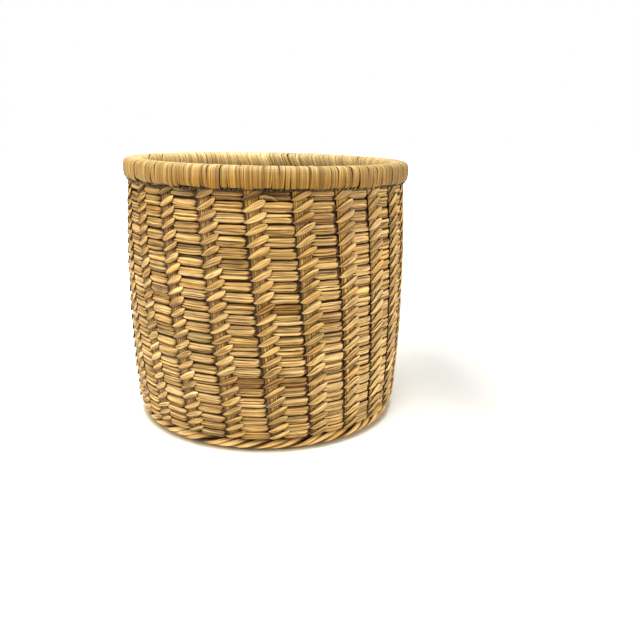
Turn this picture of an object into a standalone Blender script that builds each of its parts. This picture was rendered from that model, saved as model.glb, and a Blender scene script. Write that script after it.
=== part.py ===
# A round woven basket of split rush, open at the top.
# Metres, +Z up, standing on the XY plane, with its axis on Z. The front is towards -Y.
# Flat stakes run down the wall, a weft row passes behind every stake and bows out between
# them, and a bound rim and a roped foot close the two ends.

import bmesh
import bpy
import math
from mathutils import Vector

# Overall sizes
height = 0.235
gap = 0.0004                     # clearance left where two pieces touch

# The wall's outer face is a shallow barrel that turns under at the foot
wall_widest_radius = 0.1274
wall_widest_height = 0.115
wall_barrel = 0.37               # how fast the radius falls away from the widest height
corner_radius = 0.0193

# Stakes
stake_count = 24
stake_width = 0.0120
stake_thickness = 0.0015
stake_sink = 0.0004              # how far a stake's face lies inside the wall's outer face
stake_top = 0.2205
stake_bottom = 0.0120
stake_steps = 9
stake_turn = -2.5                # azimuth of the front stake at lean_height, in degrees
stake_uneven = 4.0               # the stakes stand a little wider apart at front and back
stake_uneven_phase = 24.0
lean_height = 0.110
lean_even = 30.0                 # every stake leans, in degrees of azimuth per metre
lean_extra = 24.0                # and those at the front left lean most
lean_phase = 40.0

# Weft rows
row_count = 24
tight_rows = 3                   # the lowest rows are beaten closer together
row_first_height = 0.2140
row_last_even_height = 0.0375
row_face_height = 0.0072
row_back_height = 0.0084
tight_first_height = 0.0296
tight_pitch = 0.0067
tight_face_height = 0.0060
tight_back_height = 0.0050       # less than at the face, because the wall turns under here
row_thickness = 0.0026
row_bow = 0.0038                 # how far a row draws in behind each stake

# Rim
rim_crest_radius = 0.1194
rim_half_width = 0.0089
rim_height = 0.0160
rim_roundness = 2.5              # exponent of the rim's rounded section
rim_wrap_thickness = 0.0014
rim_wrap_end = 52.0              # the wrap stops this many degrees below its middle
rim_wrap_points = 7
rim_core_radius = 0.0052
rim_cord_radius = 0.0010
rim_cord_height = 0.2183
rim_cord_ring = 0.1250

# Foot and base
foot_ring = 0.1164
foot_height = 0.0076
foot_radius = 0.0042
spoke_width = 0.0120
spoke_thickness = 0.0016
spoke_reach = 0.1090
hub_radius = 0.0540
hub_thickness = 0.0044
base_row_count = 6
base_row_outer = 0.1100
base_row_bottom = 0.0020
base_row_top = 0.0044

# Facets round the turned pieces
ring_steps = 48
base_steps = 24
cord_sides = 4
roll_sides = 8

row_colour = (0.56, 0.38, 0.17)
stake_colour = (0.52, 0.32, 0.11)
rim_colour = (0.55, 0.36, 0.15)
foot_colour = (0.50, 0.34, 0.16)
base_colour = (0.50, 0.34, 0.15)


def clear_scene():
    for old in list(bpy.data.objects):
        bpy.data.objects.remove(old)


def rush(name, colour):
    """A dry, slightly satin plant fibre of one colour."""
    material = bpy.data.materials.new(name)
    material.use_nodes = True
    shader = material.node_tree.nodes["Principled BSDF"]
    shader.inputs["Base Color"].default_value = (*colour, 1.0)
    shader.inputs["Roughness"].default_value = 0.62
    shader.inputs["Metallic"].default_value = 0.0
    return material


def add_part(name, bm, material):
    """Makes one named object from a closed bmesh, with its faces pointing out."""
    bmesh.ops.recalc_face_normals(bm, faces=bm.faces)
    mesh = bpy.data.meshes.new(name)
    bm.to_mesh(mesh)
    bm.free()
    mesh.materials.append(material)
    mesh.shade_smooth()
    mesh.set_sharp_from_angle(angle=math.radians(40))
    part = bpy.data.objects.new(name, mesh)
    bpy.context.collection.objects.link(part)
    return part


def around(azimuth, radius, z):
    """A point at an azimuth in degrees, counted from the front towards +X."""
    turn = math.radians(azimuth)
    return Vector((radius * math.sin(turn), -radius * math.cos(turn), z))


def wall_face(z):
    """The wall's outer radius at a height, and its outward normal as (radial, upward)."""
    if z >= corner_radius:
        slope = 2 * wall_barrel * (z - wall_widest_height)
        normal = Vector((1.0, slope)).normalized()
        return wall_widest_radius - wall_barrel * (z - wall_widest_height) ** 2, normal
    corner_centre = wall_face(corner_radius)[0] - corner_radius
    rise = z - corner_radius
    run = math.sqrt(corner_radius ** 2 - rise ** 2)
    return corner_centre + run, Vector((run, rise)).normalized()


def stake_azimuth(number, z):
    """Where stake `number` stands at a height, with its uneven spacing and its lean."""
    even = number * 360.0 / stake_count
    spread = stake_uneven * math.sin(math.radians(2 * even + stake_uneven_phase))
    lean = lean_even + lean_extra * math.cos(math.radians(even + lean_phase))
    return stake_turn + even + spread + lean * (lean_height - z)


def row_places():
    """Each weft row's middle height, face height and back height, from the top down."""
    even_rows = row_count - tight_rows
    pitch = (row_first_height - row_last_even_height) / (even_rows - 1)
    places = []
    for n in range(even_rows):
        places.append((row_first_height - pitch * n, row_face_height, row_back_height))
    for n in range(tight_rows):
        z = tight_first_height - tight_pitch * n
        places.append((z, tight_face_height, tight_back_height))
    return places


def skin(bm, loops, closed):
    """Joins a run of equal point loops by quads, and caps the ends of an open run."""
    rings = [[bm.verts.new(point) for point in loop] for loop in loops]
    followers = rings[1:] + rings[:1] if closed else rings[1:]
    for ring, after in zip(rings, followers):
        for n in range(len(ring)):
            m = (n + 1) % len(ring)
            bm.faces.new((ring[n], ring[m], after[m], after[n]))
    if not closed:
        bm.faces.new(rings[0])
        bm.faces.new(rings[-1])


def turned(name, profile, steps, material):
    """Spins a closed outline of (radius, height) points round the Z axis."""
    bm = bmesh.new()
    corners = [bm.verts.new((radius, 0.0, z)) for radius, z in profile]
    outline = [
        bm.edges.new((corner, corners[(n + 1) % len(corners)]))
        for n, corner in enumerate(corners)
    ]
    bmesh.ops.spin(
        bm,
        geom=corners + outline,
        axis=(0.0, 0.0, 1.0),
        angle=math.tau,
        steps=steps,
        use_merge=True,
    )
    return add_part(name, bm, material)


def circle_profile(ring, z, radius, sides):
    turns = [math.tau * (n + 0.5) / sides for n in range(sides)]
    return [(ring + radius * math.cos(t), z + radius * math.sin(t)) for t in turns]


def weft_row(number, z, face_height, back_height, material):
    """One row of the wall: it draws in behind each stake and bows out between two."""
    radius, normal = wall_face(z)
    along = Vector((-normal.y, normal.x))
    section = (
        (0.0, face_height / 2),
        (0.0, -face_height / 2),
        (-row_thickness, -back_height / 2),
        (-row_thickness, back_height / 2),
    )
    loops = []
    for k in range(stake_count):
        here = stake_azimuth(k, z)
        following = stake_azimuth(k + 1, z)
        for azimuth, drawn_in in ((here, row_bow), ((here + following) / 2, 0.0)):
            loop = []
            for out, up in section:
                place = Vector((radius, z)) + normal * (out - drawn_in) + along * up
                loop.append(around(azimuth, place.x, place.y))
            loops.append(loop)
    bm = bmesh.new()
    skin(bm, loops, closed=True)
    return add_part(f"weft_row_{number:02d}", bm, material)


def stake(number, material):
    """One flat stake on the outside of the rows, leaning, and turned under at the foot."""
    loops = []
    for step in range(stake_steps):
        share = step / (stake_steps - 1)
        share = 1 - (1 - share) ** 1.5
        z = stake_top + (stake_bottom - stake_top) * share
        radius, normal = wall_face(z)
        azimuth = stake_azimuth(number, z)
        side = Vector((math.cos(math.radians(azimuth)), math.sin(math.radians(azimuth)), 0.0))
        loop = []
        for depth, across in ((0, -1), (0, 1), (1, 1), (1, -1)):
            inset = stake_sink + depth * stake_thickness
            place = Vector((radius, z)) - normal * inset
            loop.append(around(azimuth, place.x, place.y) + side * across * stake_width / 2)
        loops.append(loop)
    bm = bmesh.new()
    skin(bm, loops, closed=False)
    return add_part(f"stake_{number:02d}", bm, material)


def rim_section(shrink):
    """The open underside arc of the rim, from its outer lip over the crest to its inner lip."""
    wide = rim_half_width - shrink
    tall = rim_height / 2 - shrink
    middle = height - rim_height / 2
    start = -rim_wrap_end
    sweep = 180.0 + 2 * rim_wrap_end
    points = []
    for n in range(rim_wrap_points):
        turn = math.radians(start + sweep * n / (rim_wrap_points - 1))
        c, s = math.cos(turn), math.sin(turn)
        x = math.copysign(abs(c) ** (2 / rim_roundness), c) * wide
        y = math.copysign(abs(s) ** (2 / rim_roundness), s) * tall
        points.append((rim_crest_radius + x, middle + y))
    return points


def rim(material):
    """The wrap, a channel open below, hangs over the round core and the tops of the stakes."""
    wrap = rim_section(0.0) + rim_section(rim_wrap_thickness)[::-1]
    turned("rim_binding", wrap, ring_steps, material)
    core_middle = height - rim_height / 2
    core = circle_profile(rim_crest_radius, core_middle, rim_core_radius, roll_sides)
    turned("rim_core", core, ring_steps, material)
    cord = circle_profile(rim_cord_ring, rim_cord_height, rim_cord_radius, cord_sides)
    turned("rim_cord", cord, ring_steps, material)


def foot(material):
    rope = circle_profile(foot_ring, foot_height, foot_radius, roll_sides)
    turned("foot_rope", rope, ring_steps, material)


def base_spokes(material):
    """The stakes' ends under the base: flat arms that cross in a thicker round hub."""
    bm = bmesh.new()
    hub_half = math.degrees(math.asin(spoke_width / 2 / hub_radius))
    low, mid, high, tips = [], [], [], []
    for k in range(stake_count):
        azimuth = stake_azimuth(k, 0.0)
        turn = math.radians(azimuth)
        side = Vector((math.cos(turn), math.sin(turn), 0.0)) * spoke_width / 2
        for across in (-1, 1):
            corner = azimuth + across * hub_half
            low.append(bm.verts.new(around(corner, hub_radius, 0.0)))
            mid.append(bm.verts.new(around(corner, hub_radius, spoke_thickness)))
            high.append(bm.verts.new(around(corner, hub_radius, hub_thickness)))
            tip_low = bm.verts.new(around(azimuth, spoke_reach, 0.0) + side * across)
            tip_high = bm.verts.new(
                around(azimuth, spoke_reach, spoke_thickness) + side * across
            )
            tips.append((tip_low, tip_high))
    bm.faces.new(low)
    bm.faces.new(high)
    for k in range(stake_count):
        a, b, c = 2 * k, 2 * k + 1, (2 * k + 2) % (2 * stake_count)
        (a_low, a_high), (b_low, b_high) = tips[a], tips[b]
        bm.faces.new((low[a], low[b], b_low, a_low))
        bm.faces.new((mid[a], mid[b], b_high, a_high))
        bm.faces.new((low[a], mid[a], a_high, a_low))
        bm.faces.new((low[b], mid[b], b_high, b_low))
        bm.faces.new((a_low, b_low, b_high, a_high))
        bm.faces.new((mid[a], mid[b], high[b], high[a]))
        bm.faces.new((low[b], low[c], mid[c], high[c], high[b], mid[b]))
    return add_part("base_spokes", bm, material)


def base_rows(material):
    """Flat rows of weft on the spokes, from the hub out to the foot."""
    inner = hub_radius + gap
    pitch = (base_row_outer - inner) / base_row_count
    for n in range(base_row_count):
        start = inner + pitch * n + gap
        end = inner + pitch * (n + 1)
        section = (
            (end, base_row_bottom),
            (end, base_row_top),
            (start, base_row_top),
            (start, base_row_bottom),
        )
        turned(f"base_row_{n + 1:02d}", section, base_steps, material)


def build():
    clear_scene()
    row_rush = rush("row_rush", row_colour)
    stake_rush = rush("stake_rush", stake_colour)
    rim_rush = rush("rim_rush", rim_colour)
    foot_rush = rush("foot_rush", foot_colour)
    base_rush = rush("base_rush", base_colour)
    for number, place in enumerate(row_places(), start=1):
        weft_row(number, *place, row_rush)
    for number in range(stake_count):
        stake(number + 1, stake_rush)
    rim(rim_rush)
    foot(foot_rush)
    base_spokes(base_rush)
    base_rows(base_rush)


build()
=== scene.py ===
import bpy
import math
import numpy as np
from mathutils import Matrix, Vector


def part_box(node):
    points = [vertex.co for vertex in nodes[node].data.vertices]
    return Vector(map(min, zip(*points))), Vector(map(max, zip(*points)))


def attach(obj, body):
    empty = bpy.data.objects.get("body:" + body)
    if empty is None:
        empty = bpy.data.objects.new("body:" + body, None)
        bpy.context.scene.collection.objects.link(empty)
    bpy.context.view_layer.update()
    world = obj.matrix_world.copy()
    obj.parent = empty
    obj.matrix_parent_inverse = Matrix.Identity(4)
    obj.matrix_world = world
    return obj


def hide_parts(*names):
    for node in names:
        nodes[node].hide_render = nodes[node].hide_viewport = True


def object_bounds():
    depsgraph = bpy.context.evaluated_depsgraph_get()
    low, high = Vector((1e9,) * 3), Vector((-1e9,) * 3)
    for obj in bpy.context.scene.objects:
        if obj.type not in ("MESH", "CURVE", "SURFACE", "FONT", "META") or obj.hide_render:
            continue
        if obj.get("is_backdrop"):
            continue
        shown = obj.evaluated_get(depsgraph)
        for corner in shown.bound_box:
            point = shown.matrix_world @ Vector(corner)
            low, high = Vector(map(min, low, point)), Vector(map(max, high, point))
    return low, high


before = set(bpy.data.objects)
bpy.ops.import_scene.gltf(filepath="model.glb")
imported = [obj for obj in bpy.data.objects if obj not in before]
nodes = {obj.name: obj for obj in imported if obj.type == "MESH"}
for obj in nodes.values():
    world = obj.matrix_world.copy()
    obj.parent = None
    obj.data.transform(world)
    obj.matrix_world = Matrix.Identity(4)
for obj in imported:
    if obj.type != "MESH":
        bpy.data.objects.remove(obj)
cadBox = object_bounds()
draw = np.random.default_rng(117)
mm = 0.001

rush = {  # dry rush colours, linear
    "pale": (0.700, 0.465, 0.185),
    "straw": (0.590, 0.360, 0.115),
    "tan": (0.480, 0.270, 0.070),
    "amber": (0.540, 0.270, 0.038),
    "honey": (0.285, 0.135, 0.022),
    "olive": (0.320, 0.240, 0.080),
    "brown": (0.230, 0.095, 0.018),
    "dark": (0.110, 0.046, 0.010),
}
rush = {shade: np.array(value) for shade, value in rush.items()}
richer = np.array([1.0, 1.18, 1.55])  # in the dark, green falls faster than red and blue faster still


def meshPoints(mesh):
    points = np.empty(len(mesh.vertices) * 3)
    mesh.vertices.foreach_get("co", points)
    return points.reshape(-1, 3)


def around(azimuth, radial, upward):  # places or directions; the azimuth runs from the front towards +X
    turn = np.radians(azimuth)
    return np.stack(np.broadcast_arrays(radial * np.sin(turn), -radial * np.cos(turn), upward), -1)


def turned(angle):  # the same direction between -180 and 180 degrees
    return (angle + 180) % 360 - 180


def hill(off, halfWidth, power=4):  # 1 in the middle, close to 0 beyond the half width
    return np.exp(-(off / halfWidth) ** power)


def atEdge(v, strength, power):  # grows from 0 in a leaf's middle to its strength at both edges
    return strength * np.abs(v) ** power


def toned(colour, tone):  # painted light and shade: the colour under a tone, which also grows richer as it gets darker
    return colour * np.asarray(tone)[..., None] ** richer


def unit(vectors):
    return vectors / np.maximum(np.linalg.norm(vectors, axis=-1, keepdims=True), 1e-12)


def vary(look, key, *shape):  # random, between the two values that the key holds
    return draw.uniform(*look[key], *shape)


# a strand is a ring or ball primitive whose rings are laid along a path
form = {
    "faces": {  # places across the outer face and the back, by the number of sides
        20: ((0, 0.14, 0.28, 0.44, 0.60, 0.76, 0.91, 1.0), (0.8, 0.4, 0.0, -0.4, -0.8)),
        12: ((0, 0.36, 0.7, 0.92, 1.0), (0.62, 0.0, -0.62)),
        8: ((0, 0.62, 1.0), (0.62, 0.0, -0.62)),
    },
    "dome": (3.0, 0.48), "flatFace": (0, 0.40, 0.80, 0.965, 1.0), "flatFall": (0.32, 8), "back": -0.85,
    "poleReach": 0.3,  # mm that a closed end stands past the last ring
    "streak": 0.10, "streakSteps": 9, "streakBlend": 0.7,  # fibre lines that fade in and out along the leaf
    "grainRoom": 40000, "grainGap": 0.2,  # mm
}


def sectionOf(sides, flat):  # place across (-1..1), height and whether it lies on the outer face
    face, back = form["faces"][sides]
    if flat:
        face = form["flatFace"]
    across = np.array([*face, *back, *(-place for place in face[:0:-1])])
    inward, outward = form["dome"]
    height = (1 - np.minimum(np.abs(across), 1) ** inward) ** outward
    if flat:
        height = 1 - atEdge(across, *form["flatFall"])
    isFace = np.ones(sides, bool)
    isFace[len(face):len(face) + len(back)] = False
    height[~isFace] *= form["back"]
    return across, height, isFace


blanks = []


def makeBlank(steps, sides, closed, flat=False):
    bpy.ops.object.select_all(action="DESELECT")
    if closed:
        bpy.ops.mesh.primitive_circle_add(
            vertices=sides, radius=0.25, location=(1, 0, 0), rotation=(math.pi / 2, 0, 0)
        )
        bpy.ops.object.transform_apply(location=True, rotation=True, scale=True)
        bpy.ops.object.mode_set(mode="EDIT")
        bpy.ops.mesh.select_all(action="SELECT")
        bpy.ops.mesh.spin(steps=steps, angle=math.tau, center=(0, 0, 0), axis=(0, 0, 1))
        bpy.ops.mesh.select_all(action="SELECT")
        bpy.ops.mesh.remove_doubles(threshold=0.0001)
        bpy.ops.mesh.normals_make_consistent(inside=False)
        bpy.ops.object.mode_set(mode="OBJECT")
    else:
        bpy.ops.mesh.primitive_uv_sphere_add(segments=sides, ring_count=steps + 1, calc_uvs=False)
    piece = bpy.context.object
    blanks.append(piece)
    mesh = piece.data
    points = meshPoints(mesh)
    if closed:
        ring = np.rint(np.arctan2(points[:, 1], points[:, 0]) / math.tau * steps).astype(int) % steps
        tilt = np.arctan2(points[:, 2], np.hypot(points[:, 0], points[:, 1]) - 1)
        side = np.rint(tilt / math.tau * sides).astype(int) % sides
    else:  # ring 0 and ring steps + 1 are the poles
        fall = np.arccos(np.clip(points[:, 2], -1, 1)) / math.pi * (steps + 1)
        ring = steps + 1 - np.rint(fall).astype(int)
        turn = np.rint(np.arctan2(points[:, 1], points[:, 0]) / math.tau * sides).astype(int)
        side = (sides // 4 - turn) % sides
    loopVert = np.empty(len(mesh.loops), int)
    mesh.loops.foreach_get("vertex_index", loopVert)
    starts = np.empty(len(mesh.polygons), int)
    mesh.polygons.foreach_get("loop_start", starts)
    owner = np.repeat(np.arange(len(starts)), np.diff(np.append(starts, len(loopVert))))
    loopRing, loopSide = ring[loopVert], side[loopVert]
    wraps = [(loopSide, sides)]
    if closed:
        wraps.append((loopRing, steps))
    for value, count in wraps:  # faces that close the round count on past the last ring or side
        most = np.zeros(len(starts), int)
        np.maximum.at(most, owner, value)
        value[most[owner] - value > count // 2] += count
        np.minimum(value, count, out=value)
    mesh.shade_smooth()
    mesh.uv_layers.new(name="grain")
    mesh.color_attributes.new("colourAndShade", "FLOAT_COLOR", "POINT")
    return {
        "object": piece, "steps": steps, "closed": closed, "section": sectionOf(sides, flat),
        "ring": ring, "side": side, "loopRing": loopRing, "loopSide": loopSide,
    }


def streaks(steps, sides, closed):  # fibre lines that fade in and out along the leaf
    lines = draw.normal(0, form["streak"], (max(steps // form["streakSteps"], 2), sides))
    lines = 1 + (lines + np.roll(lines, 1, 1)) * form["streakBlend"]
    if closed:
        lines[-1] = lines[0]
    where = np.linspace(0, len(lines) - 1, steps)
    low = np.minimum(where.astype(int), len(lines) - 2)
    return lines[low] + (lines[low + 1] - lines[low]) * (where - low)[:, None]


def layStrand(blank, path, outward, wide, thick, colourAndShade, carve=0.0, shear=0.0):
    # path and outward are in mm, one row a ring; the colour, with its painted light and shade, is one a ring,
    # or one a ring and side
    steps, closed = blank["steps"], blank["closed"]
    v, height, _ = blank["section"]
    sides = len(v)
    if closed:
        along = unit(np.roll(path, -1, 0) - np.roll(path, 1, 0))
    else:
        along = unit(np.gradient(path, axis=0))
    sideways = unit(np.cross(outward, along))
    normal = np.cross(along, sideways)
    wide, thick = (np.broadcast_to(value, (steps,)) for value in (wide, thick))
    rise = (height[None, :] - carve) * thick[:, None]
    points = (
        path[:, None, :]
        + (sideways + along * shear)[:, None, :] * (wide[:, None] * v[None, :])[..., None]
        + normal[:, None, :] * rise[..., None]
    )
    colours = np.broadcast_to(colourAndShade if colourAndShade.ndim == 3 else colourAndShade[:, None, :], (steps, sides, 3))
    colours = colours * streaks(steps, sides, closed)[..., None]
    if not closed:
        poles = [points[i].mean(0) + along[i] * way * form["poleReach"] for i, way in ((0, -1), (-1, 1))]
        first, last = (np.tile(pole, (1, sides, 1)) for pole in poles)
        points = np.concatenate([first, points, last])
        colours = np.concatenate([colours[:1], colours, colours[-1:]])
    piece = blank["object"].copy()
    piece.data = blank["object"].data.copy()
    bpy.context.collection.objects.link(piece)
    mesh = piece.data
    spots = points[blank["ring"], blank["side"]]
    mesh.vertices.foreach_set("co", (spots * mm).ravel())
    shades = np.ones((len(spots), 4))
    shades[:, :3] = colours[blank["ring"], blank["side"]]
    mesh.color_attributes["colourAndShade"].data.foreach_set("color", shades.ravel())
    loop = np.vstack([points[:, 0], points[:1, 0]]) if closed else points[:, 0]
    run = np.append(0, np.cumsum(np.linalg.norm(np.diff(loop, axis=0), axis=1)))
    hoop = np.append(v, v[:1]) * wide.mean()
    reach = np.append(0, np.cumsum(np.abs(np.diff(hoop)) + form["grainGap"]))
    start = draw.uniform(0, form["grainRoom"])
    grain = np.stack([start + run[blank["loopRing"]], start + reach[blank["loopSide"]]], 1) * mm
    mesh.uv_layers["grain"].data.foreach_set("uv", grain.ravel())
    mesh.update()
    return piece


def edgeTone(blank, strength, power, back):  # painted shade: dark at both edges of the face, and one tone behind
    v, _, isFace = blank["section"]
    return np.where(isFace, 1 - atEdge(v, strength, power), back)


def joinAs(name, parts, slotName, *replaced):
    bpy.ops.object.select_all(action="DESELECT")
    for part in parts:
        part.select_set(True)
    piece = bpy.context.view_layer.objects.active = parts[0]
    bpy.ops.object.join()
    piece.name = piece.data.name = name
    piece.data.materials.clear()
    piece.data.materials.append(rushes[slotName])
    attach(piece, "root")
    if replaced:
        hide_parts(*replaced)


def feed(tree, node, inputs):  # each input gets a value, or what another node gives
    for key, value in inputs.items():
        if isinstance(value, bpy.types.NodeSocket):
            tree.links.new(value, node.inputs[key])
        else:
            node.inputs[key].default_value = value


def addNode(tree, kind, inputs, **settings):
    node = tree.nodes.new(kind)
    for key, value in settings.items():
        setattr(node, key, value)
    feed(tree, node, inputs)
    return node


def mapped(tree, value, span, values=(0.0, 1.0), **settings):
    inputs = dict(zip(("Value", "From Min", "From Max", "To Min", "To Max"), (value, *span, *values)))
    return addNode(tree, "ShaderNodeMapRange", inputs, **settings).outputs["Result"]


def times(tree, colour, factor):
    inputs = {0: colour, "Scale": factor}
    return addNode(tree, "ShaderNodeVectorMath", inputs, operation="SCALE").outputs["Vector"]


# materials: the strand's own colour with its painted light and shade, worked over with fibre lines, blotches
# and specks
plainLook = {
    "fibreScales": ((60, 1700), (26, 720), (260, 800)),  # of fine lines, broad ones and specks
    "fineNoise": (1, 2, 0.6), "broadNoise": (1, 2, 0.55),  # scale, detail and roughness
    "speckNoise": (1, 1, 0.5), "blotchNoise": (70, 3, 0.6),
    "noiseSpan": (0.3, 0.7), "broadSpan": (0.34, 0.66), "speckSpan": (0.70, 0.78),
    "fineRange": (0.66, 1.26), "broadRange": (0.70, 1.26), "blotchRange": (0.90, 1.08),
    "speckRange": (1.0, 0.62), "depthRange": (1.18, 0.88),  # a depth above 1 is richer, below 1 paler
    "roughness": (0.42, 0.60), "specular": 0.28, "bump": 0.7, "relief": 0.00035,
}


def rushMaterial(name, look):
    material = bpy.data.materials.new(name)
    material.use_nodes = True
    tree = material.node_tree

    def noise(vector, scale, detail, rough):
        inputs = {"Vector": vector, "Scale": scale, "Detail": detail, "Roughness": rough}
        return addNode(tree, "ShaderNodeTexNoise", inputs).outputs["Fac"]

    def level(fac, span, values):
        return mapped(tree, fac, look[span], look[values])

    uv = addNode(tree, "ShaderNodeUVMap", {}, uv_map="grain").outputs["UV"]
    fineLines, broadLines, specks = (
        addNode(tree, "ShaderNodeMapping", {"Vector": uv, "Scale": (*scale, 1)}).outputs["Vector"]
        for scale in look["fibreScales"]
    )
    place = addNode(tree, "ShaderNodeTexCoord", {}).outputs["Object"]
    colourAndShade = addNode(tree, "ShaderNodeAttribute", {}, attribute_name="colourAndShade").outputs["Color"]
    fine = noise(fineLines, *look["fineNoise"])
    broad = noise(broadLines, *look["broadNoise"])
    blotch = noise(place, *look["blotchNoise"])
    speck = noise(specks, *look["speckNoise"])
    colour = times(tree, colourAndShade, level(fine, "noiseSpan", "fineRange"))
    colour = times(tree, colour, level(broad, "broadSpan", "broadRange"))
    colour = times(tree, colour, level(blotch, "noiseSpan", "blotchRange"))
    depth = level(broad, "broadSpan", "depthRange")
    colour = addNode(tree, "ShaderNodeGamma", {"Color": colour, "Gamma": depth}).outputs["Color"]
    colour = times(tree, colour, level(speck, "speckSpan", "speckRange"))
    both = addNode(tree, "ShaderNodeMath", {0: fine, 1: broad}, operation="ADD").outputs[0]
    relief = {"Height": both, "Strength": look["bump"], "Distance": look["relief"]}
    bump = addNode(tree, "ShaderNodeBump", relief)
    feed(tree, tree.nodes["Principled BSDF"], {
        "Base Color": colour, "Roughness": level(broad, "noiseSpan", "roughness"),
        "Specular IOR Level": look["specular"], "Normal": bump.outputs["Normal"],
    })
    return material


rimLook = {
    **plainLook, "fibreScales": ((30, 2100), (6, 900), (260, 800)),
    "fineRange": (0.70, 1.22), "broadRange": (0.62, 1.26),
}
rushes = {  # one material a slot
    "row_rush": rushMaterial("rowRush", {**plainLook, "broadRange": (0.52, 1.34)}),
    "stake_rush": rushMaterial("stakeRush", {**plainLook, "broadRange": (0.60, 1.30)}),
    "rim_rush": rushMaterial("rimRush", rimLook),
    "foot_rush": rushMaterial("footRush", plainLook),
    "base_rush": rushMaterial("baseRush", {**plainLook, "speckRange": (1.0, 0.6)}),
}
print("materials ready")

# the wall's outer face, as in the solids
wall = {"radius": 127.4, "widest": 115.0, "barrel": 0.00037, "corner": 19.3}


def wallFace(z):  # radius in mm and the outward normal as (radial, upward)
    if z >= wall["corner"]:
        off = z - wall["widest"]
        normal = np.array([1.0, 2 * wall["barrel"] * off])
        return wall["radius"] - wall["barrel"] * off ** 2, normal / np.linalg.norm(normal)
    middle = wallFace(wall["corner"])[0] - wall["corner"]
    rise = z - wall["corner"]
    run = math.sqrt(wall["corner"] ** 2 - rise ** 2)
    return middle + run, np.array([run, rise]) / wall["corner"]


stakeCount, rowCount = 24, 24
stakeEnd = 3 * mm  # each end of a stake is placed by its points within this height
slopes, starts = np.empty(stakeCount), np.empty(stakeCount)  # azimuth of each stake: per mm, and at z = 0
for number in range(stakeCount):
    points = meshPoints(nodes[f"stake_{number + 1:02d}"].data)
    levels = np.round(points[:, 2], 4)
    low = points[points[:, 2] < levels.min() + stakeEnd].mean(0)
    top = points[points[:, 2] > levels.max() - stakeEnd].mean(0)
    lowTurn, topTurn = (math.degrees(math.atan2(end[0], -end[1])) for end in (low, top))
    slopes[number] = turned(topTurn - lowTurn) / (top[2] / mm - low[2] / mm)
    starts[number] = lowTurn - slopes[number] * low[2] / mm
starts += 360 * np.rint((np.arange(stakeCount) * 360 / stakeCount - starts) / 360)  # so that they rise


def stakeAzimuths(z):
    return starts + slopes * z


print("stakes measured")

leafMix = {  # shades of the leaves that make up a strand
    "run": (4, 12), "mix": 0.85, "paleShare": 0.42, "leafTone": (0.92, 1.06), "tone": (0.90, 1.08),
    "odd": (("amber", 0.03), ("olive", 0.01), ("brown", 0.006)), "oddBlend": (0.3, 0.65),  # shade and chance
}


def leafShades(count, plain=0.0):  # one colour a gap: long leaves of one shade, a few odd ones
    shades = np.empty((count, 3))
    at = 0
    while at < count:
        run = int(draw.integers(*leafMix["run"]))
        mix = draw.random() * leafMix["mix"] * (1 - plain)
        other = rush["pale"] if draw.random() < leafMix["paleShare"] else rush["tan"]
        leaf = rush["straw"] * (1 - mix) + other * mix
        shades[at:at + run] = leaf * vary(leafMix, "leafTone")
        at += run
    for odd, chance in leafMix["odd"]:
        for spot in np.nonzero(draw.random(count) < chance)[0]:
            blend = vary(leafMix, "oddBlend")
            shades[spot] = shades[spot] * (1 - blend) + rush[odd] * blend
    return shades * draw.uniform(*leafMix["tone"], (count, 1))


def laidOn(azimuth, radius, z, normal, up, out):  # points beside a row, up along the wall and out from it
    return around(azimuth, radius + normal[0] * out - normal[1] * up, z + normal[1] * out + normal[0] * up)


def outwardAt(azimuth, normal, tilt=0.0):  # the wall's outward direction, tilted upwards
    return around(azimuth, normal[0] - tilt * normal[1], normal[1] + tilt * normal[0])


lining = {  # a leaf that runs straight round behind all stakes; its nearly black face and dark edges are painted shade where it shows through gaps
    "steps": 96, "leafSteps": 4, "depth": -3.1, "thick": 0.85, "halfShare": 0.53,
    "faceTone": 0.10, "backTone": 0.9, "edge": (0.5, 6),
}
liningBlank = makeBlank(lining["steps"], 12, True)


def liningLeaf(radius, z, normal, out, halfWide, thick):
    steps, leafSteps = lining["steps"], lining["leafSteps"]
    azimuth = np.arange(steps) / steps * 360
    path = laidOn(azimuth, radius, z, normal, 0, out)
    v, _, isFace = liningBlank["section"]
    tone = np.where(isFace, lining["faceTone"], lining["backTone"]) * (1 - atEdge(v, *lining["edge"]))
    colours = toned(leafShades(steps // leafSteps).repeat(leafSteps, 0)[:, None, :], tone[None, :])
    return layStrand(liningBlank, path, outwardAt(azimuth, normal), halfWide, thick, colours)


underRim = {  # painted shadow: the rim shades the row below it, most of all at the front
    "front": -7, "halfWidth": 31,
    "overall": (0.04, 0.30), "upper": (0.16, 0.34),  # everywhere, and more of it in front
    "upperFrom": (-0.5, 3.5), "lashHeight": 0.5, "lashShare": 0.7,
}


def rimShade(azimuth, height):
    front = hill(turned(np.asarray(azimuth) - underRim["front"]), underRim["halfWidth"])
    overall, upper = (least + more * front for least, more in (underRim["overall"], underRim["upper"]))
    return 1 - overall - upper * np.interp(height, underRim["upperFrom"], (0, 1))


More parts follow.
